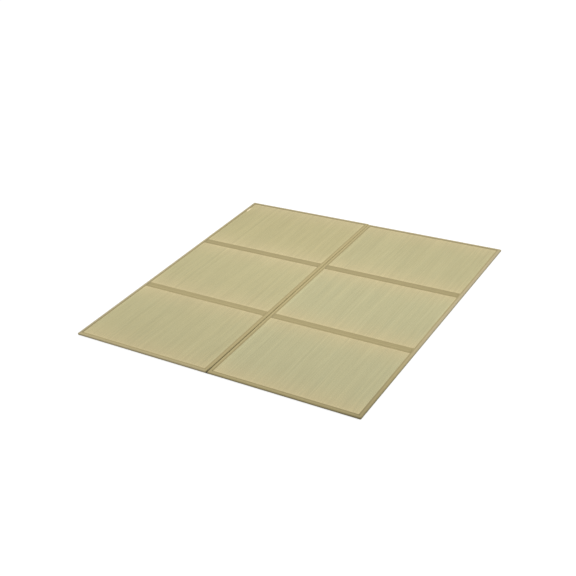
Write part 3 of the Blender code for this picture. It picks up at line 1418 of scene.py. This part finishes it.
        # Painted light: lighter near the column's left side, and over the left third of the panels given it.
        beside = np.clip(1 - (x - left) / RUSH.painted_left_side_reach, 0, 1) ** 2
        third = 1 - smooth_step(x - left, 0.0, RUSH.painted_left_third_reach)
        for name, values, rest in (
            ("painted_field_light", (1 + RUSH.painted_left_side_light * beside) * (1 + self.painted_left_third_light * third), 1.0),
            ("facing", 1.0, 0.0),
            ("press_reach", np.minimum.reduce([ends, x - left, right - x]), 0.0),
            ("rib_place", y / RUSH.rib_pitch, 0.5),
            ("stalk_end", ends, 0.0),
            ("batch", self.batch, 0.0),
        ):
            everywhere = np.full(len(points), rest)
            everywhere[:top_count] = values
            give(piece, name, everywhere)
        give_cloth(piece, points)

    def build(self) -> Piece:
        """Returns:
            The finished piece.
        """
        points, faces, top_count = self.mesh_data()
        name = f"{self.plan.name}_{ROWS[self.row]}"
        piece = make_piece(f"rush_{name}", points, faces, [])
        self.give_places(piece, points, top_count)
        values = {
            "Shallow Groove": self.shallow_groove,
            "Deep Groove": self.deep_groove,
            "Press Depth": SIZES.rush_top - (SIZES.thickness - self.rim),
            "Press Width": self.press_width,
            "Wander": self.wander,
            "Seed": float(self.seed),
            "Facing": RUSH.material(),
            "Backing": BACKING_CLOTH.material(),
        }
        run_tree(piece, rib_tree(), values)
        dress(piece, Slot.RUSH, f"panel_{name}")
        return piece


@dataclass
class Label:
    """The blank label that lies on the back left panel, one side against the binding."""

    columns: int = 9
    rows: int = 23
    seed: int = 71
    thickness: float = 0.0006
    ripple: float = 0.00012
    ripple_waves: Span = (0.012, 0.05)
    hem: float = 0.0006
    painted_binding_shade_reach: float = 0.004
    painted_binding_shade: float = 0.06

    def build(self) -> Piece:
        """Returns:
            The finished piece.
        """
        low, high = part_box("label")
        x, y = np.linspace(low.x, high.x, self.columns), np.linspace(low.y, high.y, self.rows)
        wave = waver(self.seed, self.ripple_waves, y) * self.ripple
        under = low.z + np.outer(wave, (x - low.x) / (high.x - low.x)) + self.ripple
        edge = np.minimum.outer(np.minimum(y - low.y, high.y - y), np.minimum(x - low.x, high.x - x))
        over = under + self.thickness - (self.thickness / 3) * (1 - smooth_step(edge, 0.0, self.hem))
        plan = np.meshgrid(x, y)
        points = np.vstack([np.stack([*plan, height], -1).reshape(-1, 3) for height in (under, over)])
        quads, rim = grid_faces(self.rows, self.columns)
        count = self.rows * self.columns
        walls = np.stack([rim, np.roll(rim, -1), np.roll(rim, -1) + count, rim + count], -1)
        faces = np.vstack([quads[:, ::-1], quads + count, walls]).tolist()
        piece = make_piece("blank_label", points, faces, [LABEL_CLOTH])
        # Painted shade: the side against the binding is darker and mixed towards the label's darker faded
        # colour.
        binding_shaded_side = 1 - smooth_step(points[:, 0] - low.x, 0.0, self.painted_binding_shade_reach)
        give_cloth(piece, points, 1 - self.painted_binding_shade * binding_shaded_side, binding_shaded_side)
        dress(piece, Slot.LABEL, "label")
        return piece


@cache
def stitch_tree() -> Tree:
    """A row of lock stitches along each line of the mesh that it is given.

    Returns:
        The tree, for run_tree.
    """
    inputs = {"Geometry": GEOMETRY, "Thread": MATERIAL, "Seed": 1, "Stitch Pitch": 0.005}
    inputs |= {"Stitch Length": 0.004, "Thread Radius": 0.0002, "Sunk": 0.0003, "Arch": 0.0003}
    inputs |= {"Skew": 0.06}
    part = NodePart("lock stitches", "GeometryNodeTree", inputs, {"Geometry": GEOMETRY})
    sketch, given = part.sketch, part.given
    lines = sketch.add("GeometryNodeMeshToCurve", {"Mesh": given["Geometry"]})[0]
    values = {"Curve": lines, "Length": given["Stitch Pitch"]}
    holes = sketch.add("GeometryNodeResampleCurve", values, mode="LENGTH")[0]
    half = sketch.times(given["Stitch Length"], 0.5)
    sunk = sketch.times(given["Sunk"], -1.0)
    values = {
        "Resolution": 4,
        "Start": sketch.join(sketch.times(half, -1.0), 0.0, sunk),
        "Middle": sketch.join(0.0, 0.0, given["Arch"]),
        "End": sketch.join(half, 0.0, sunk),
    }
    stitch = sketch.add("GeometryNodeCurveQuadraticBezier", values)[0]
    values = {"Resolution": 5, "Radius": given["Thread Radius"]}
    section = sketch.add("GeometryNodeCurvePrimitiveCircle", values)[0]
    values = {"Curve": stitch, "Profile Curve": section, "Fill Caps": True}
    thread = sketch.add("GeometryNodeCurveToMesh", values)[0]
    tangent = sketch.add("GeometryNodeInputTangent")[0]
    turn = sketch.add("FunctionNodeAlignRotationToVector", {"Vector": tangent}, axis="X")[0]
    outward = sketch.add(
        "GeometryNodeInputNamedAttribute", {"Name": "outward"}, data_type="FLOAT_VECTOR"
    )["Attribute"]
    values = {"Rotation": turn, "Vector": outward}
    turn = sketch.add("FunctionNodeAlignRotationToVector", values, axis="Z", pivot_axis="X")[0]
    values = {2: sketch.times(given["Skew"], -1.0), 3: given["Skew"], "Seed": given["Seed"]}
    skew = sketch.add("FunctionNodeRandomValue", values, data_type="FLOAT")[1]
    skewed = sketch.add("FunctionNodeEulerToRotation", {0: sketch.join(0.0, 0.0, skew)})[0]
    values = {"Rotation": turn, "Rotate By": skewed}
    turn = sketch.add("FunctionNodeRotateRotation", values, rotation_space="LOCAL")[0]
    values = {"Points": holes, "Instance": thread, "Rotation": turn}
    placed = sketch.add("GeometryNodeInstanceOnPoints", values)[0]
    smooth = sketch.add("GeometryNodeSetShadeSmooth", {"Geometry": placed})[0]
    whole = sketch.add("GeometryNodeRealizeInstances", {"Geometry": smooth})[0]
    values = {"Geometry": whole, "Material": given["Thread"]}
    return part.done({"Geometry": sketch.add("GeometryNodeSetMaterial", values)[0]})


@dataclass
class StitchRows:
    """Rows of stitches along straight lines on the cloth, as one piece."""

    name: str
    lines: list[tuple[Array, Face]]
    seed: int
    pitch: float = 0.005
    stitch: float = 0.0043
    sunk: float = 0.000308
    arch: float = 0.000396

    def build(self) -> Piece:
        """Make the stitches and dress them.

        Returns:
            The finished piece.
        """
        points = np.vstack([line for line, _ in self.lines])
        edges = np.arange(len(points)).reshape(-1, 2).tolist()
        piece = make_piece(self.name, points, [], [], edges, solid=False)
        give(piece, "outward", np.array([(0, 0, face.value) for line, face in self.lines for _ in line]))
        values = {
            "Stitch Pitch": self.pitch,
            "Stitch Length": self.stitch,
            "Thread Radius": SIZES.thread_radius,
            "Sunk": self.sunk,
            "Arch": self.arch,
            "Seed": self.seed,
            "Thread": THREAD.material(),
        }
        run_tree(piece, stitch_tree(), values)
        dress(piece, Slot.CLOTH)
        return piece


@dataclass
class SeamLacing:
    """Thread that laces the inner bindings of the two back panels together, low in the seam."""

    left: ColumnPlan
    pitch: float = 0.009
    half_width: float = 0.0019
    thread_radius: float = 0.0003
    depth: float = 0.0024
    sides: int = 5
    end_clear: float = 0.030

    def build(self) -> Piece:
        """Make the lacing and dress it.

        Returns:
            The finished piece.
        """
        low, high = self.left.fold(1) + self.end_clear, self.left.high - self.end_clear
        count = 2 * round((high - low) / self.pitch)
        steps = np.arange(count + 1)
        path = np.zeros((count + 1, 3))
        path[:, 0] = SIZES.seam_x + self.half_width * np.where(steps % 2, -1, 1)
        path[:, 1] = low + (high - low) * steps / count
        path[:, 2] = SIZES.thickness - self.depth
        tangents = np.gradient(path, axis=0)
        tangents /= np.linalg.norm(tangents, axis=1)[:, None]
        rings = np.repeat(path[:, None], self.sides, axis=1)
        turns = 2 * math.pi * np.arange(self.sides) / self.sides
        rings[..., :2] += self.thread_radius * np.cos(turns)[:, None] * left_of(tangents)[:, None]
        rings[..., 2] += self.thread_radius * np.sin(turns)
        faces = tube_faces(count + 1, self.sides)
        piece = make_piece("seam_lacing", rings.reshape(-1, 3), faces, [THREAD])
        dress(piece, Slot.CLOTH)
        return piece


# Tone, painted shade and fade of the columns' strips, in the order of the plan's side names
LEFT_STRIP_SHADES = (
    StripShadeAndFade(
        along=((0.0, 1.0), (1.0, 0.91)), rim=((0.0, 0.11),), stitches=0.12, edge=0.12, fade=((0.0, 0.3),),
    ),
    StripShadeAndFade(
        along=((0.0, 0.94), (0.5, 0.93)), rim=((0.0, 0.55), (0.03, 0.16), (0.5, 0.05), (1.0, 0.0)),
        stitches=0.20,
    ),
    StripShadeAndFade(along=((0.0, 0.92),), rim=((0.0, 0.04),), stitches=0.38, fade=((0.0, 0.4),)),
    StripShadeAndFade(
        along=((0.0, 0.87), (0.12, 0.935), (0.7, 0.96), (1.0, 0.90)), rim=((0.0, 0.02),), stitches=0.38,
        fade=((0.3, 0.45), (0.5, 0.8)),
    ),
)
RIGHT_STRIP_SHADES = (
    StripShadeAndFade(
        along=((0.0, 0.88), (0.9, 0.78), (1.0, 0.72)), rim=((0.8, 0.14), (1.0, 0.30)), stitches=0.16,
        edge=0.27,
    ),
    StripShadeAndFade(
        along=((0.0, 0.76), (0.25, 0.92), (0.45, 0.98)), rim=((0.0, 0.24), (0.4, 0.10), (1.0, 0.07)),
        stitches=0.20, edge=0.25, fade=((0.2, 0.0), (0.45, 0.6)),
    ),
    StripShadeAndFade(along=((0.0, 0.92),), rim=((0.0, 0.04),), stitches=0.38, fade=((0.0, 0.4),)),
    StripShadeAndFade(
        along=((0.0, 0.95), (0.66, 0.96), (1.0, 0.93)), rim=((0.97, 0.0), (1.0, 0.35)), stitches=0.30,
    ),
)


@dataclass
class Column:
    """One column of the mat: three panels, two tapes, four strips of binding and their sewing."""

    plan: ColumnPlan
    batches: tuple[float, ...]
    painted_left_third_lights: tuple[float, ...]
    tape_shades: tuple[float, ...]
    strip_shades: tuple[StripShadeAndFade, ...]
    seed: int

    def build(self) -> list[Piece]:
        """Make the column's pieces.

        Returns:
            The pieces, panels first.
        """
        plan, seed = self.plan, self.seed
        rushes = zip(self.batches, self.painted_left_third_lights)
        panels = [RushPanel(plan, row, *rush, seed + row) for row, rush in enumerate(rushes)]
        shades = enumerate(self.tape_shades)
        tapes = [FoldTape(plan, row, seed + 10 + 3 * row, shade) for row, shade in shades]
        strip_shades = enumerate(self.strip_shades)
        strips = [BorderStrip(plan, side, seed + 20 + 3 * side, tone) for side, tone in strip_shades]
        border_lines = [(strip.seam(face), face) for face in Face for strip in strips]
        tape_lines = [(line, Face.TOP) for tape in tapes for line in tape.seams()]
        stitches = [
            StitchRows(f"stitches_{place}_{plan.name}", lines, seed + 40)
            for place, lines in (("border", border_lines), ("tape", tape_lines))
        ]
        return [part.build() for part in (*panels, *tapes, *strips, *stitches)]


def flat_quad(low: Vector, high: Vector, height: float) -> Quad:
    """Corners of a level rectangle, anticlockwise."""
    plan = [(low.x, low.y), (high.x, low.y), (high.x, high.y), (low.x, high.y)]
    return [(x, y, height) for x, y in plan]


@dataclass
class Studio:
    """Pale floor, soft light from above and behind, and the camera at the photograph's angle."""

    floor_size: float = 60.0
    floor_drop: float = 0.0004
    floor_glow: float = 0.82
    backdrop_height: float = 6.0
    backdrop_glow: float = 1.1
    shaded_width: float = 0.018
    shaded_fade: float = 0.005
    shaded_to: float = 0.010
    world_strength: float = 0.72
    key_strength: float = 1.0
    key_from: Triple = (0.3, 0.8, 1.0)
    key_angle: float = 30.0
    pool_place: Triple = (0.0, 0.3, 1.5)
    pool_size: Span = (2.6, 0.9)
    pool_strength: float = 8.5
    camera_place: Triple = (2.7084, -4.0204, 2.8324)
    camera_view: Triple = (-0.49138, 0.71254, -0.50084)
    camera_up: Triple = (-0.20001, 0.46773, 0.86094)
    lens: float = 60.515
    sensor: float = 36.0

    def surface(self, name: str, quads: list[Quad], glow: float, fade: Span | None = None) -> None:
        """Lay a pale glowing surface.

        Args:
            name: The surface's name.
            quads: The four corners of each of its faces.
            glow: How much it glows towards the camera.
            fade: The two Y between which the glow fades to nothing.
        """
        points = np.array(quads).reshape(-1, 3)
        faces = np.arange(len(points)).reshape(-1, 4).tolist()
        paint = StagePaint(name=name, glow=glow, fade=fade)
        make_piece(name, points, faces, [paint], solid=False)

    def floor(self) -> None:
        """Lay the floor, the low backdrop round it, and a painted shadow under the seam: a strip of floor
        whose glow fades out.
        """
        high = Vector((1, 1)) * self.floor_size / 2
        rim = flat_quad(-high, high, -self.floor_drop)
        self.surface("floor", [rim], self.floor_glow)
        rise = self.backdrop_height
        walls = [[a, b, (*b[:2], rise), (*a[:2], rise)] for a, b in zip(rim, rim[1:] + rim[:1])]
        self.surface("backdrop", walls, self.backdrop_glow)
        # Painted shadow: the floor under the seam stops glowing, so the gap shows dark.
        low = Vector((SIZES.seam_x - self.shaded_width / 2, CAD_LOW.y))
        high = Vector((SIZES.seam_x + self.shaded_width / 2, CAD_HIGH.y - self.shaded_to))
        strip = flat_quad(low, high, -self.floor_drop / 2)
        self.surface("painted_shadow_floor", [strip], self.floor_glow, (low.y, low.y + self.shaded_fade))

    def light(self) -> None:
        """Set the soft light all round, the broad light from behind and the pool of light above."""
        world = bpy.data.worlds.new("studio")
        world.use_nodes = True
        background = world.node_tree.nodes["Background"]
        background.inputs["Color"].default_value = (1, 1, 1, 1)
        background.inputs["Strength"].default_value = self.world_strength
        bpy.context.scene.world = world
        data = bpy.data.lights.new("key", "SUN")
        data.energy = self.key_strength
        data.angle = math.radians(self.key_angle)
        key = place_object("key", data)
        key.rotation_mode = "QUATERNION"
        key.rotation_quaternion = Vector(self.key_from).to_track_quat("Z", "Y")
        data = bpy.data.lights.new("pool", "AREA")
        data.energy = self.pool_strength
        data.shape = "RECTANGLE"
        data.size, data.size_y = self.pool_size
        pool = place_object("pool", data)
        pool.location = self.pool_place
        pool.visible_camera = False

    def camera(self) -> None:
        """Place the camera."""
        view = Vector(self.camera_view).normalized()
        right = view.cross(Vector(self.camera_up)).normalized()
        turn = Matrix((right, right.cross(view), -view)).transposed()
        data = bpy.data.cameras.new("camera")
        data.lens = self.lens
        data.sensor_width = self.sensor
        camera = place_object("camera", data)
        camera.matrix_world = Matrix.Translation(self.camera_place) @ turn.to_4x4()
        bpy.context.scene.camera = camera

    def build(self) -> None:
        """Set up the whole studio."""
        bpy.context.scene.view_settings.view_transform = "Standard"
        self.floor()
        self.light()
        self.camera()


def main() -> None:
    """Build the mat's looks round the frame, and report each piece."""
    logging.basicConfig(level=logging.INFO, format="%(message)s")
    Studio().build()
    left, right = ColumnPlan("left", -1), ColumnPlan("right", 1)
    made = Column(
        left, batches=(0.50, 0.40, 0.17), painted_left_third_lights=(0.04, 0.0, 0.0), tape_shades=(0.855, 0.80),
        strip_shades=LEFT_STRIP_SHADES, seed=100,
    ).build()
    made += Column(
        right, batches=(0.80, 0.77, 0.47), painted_left_third_lights=(0.0, 0.0, 0.0), tape_shades=(0.84, 0.79),
        strip_shades=RIGHT_STRIP_SHADES, seed=300,
    ).build()
    made += [Label().build(), SeamLacing(left).build()]
    total = 0
    for piece in made:
        triangles = sum(len(face.vertices) - 2 for face in piece.data.polygons)
        total += triangles
        LOG.info("%s: %d triangles", piece.name, triangles)
    LOG.info("all: %d triangles", total)


if __name__ == "__main__":
    main()
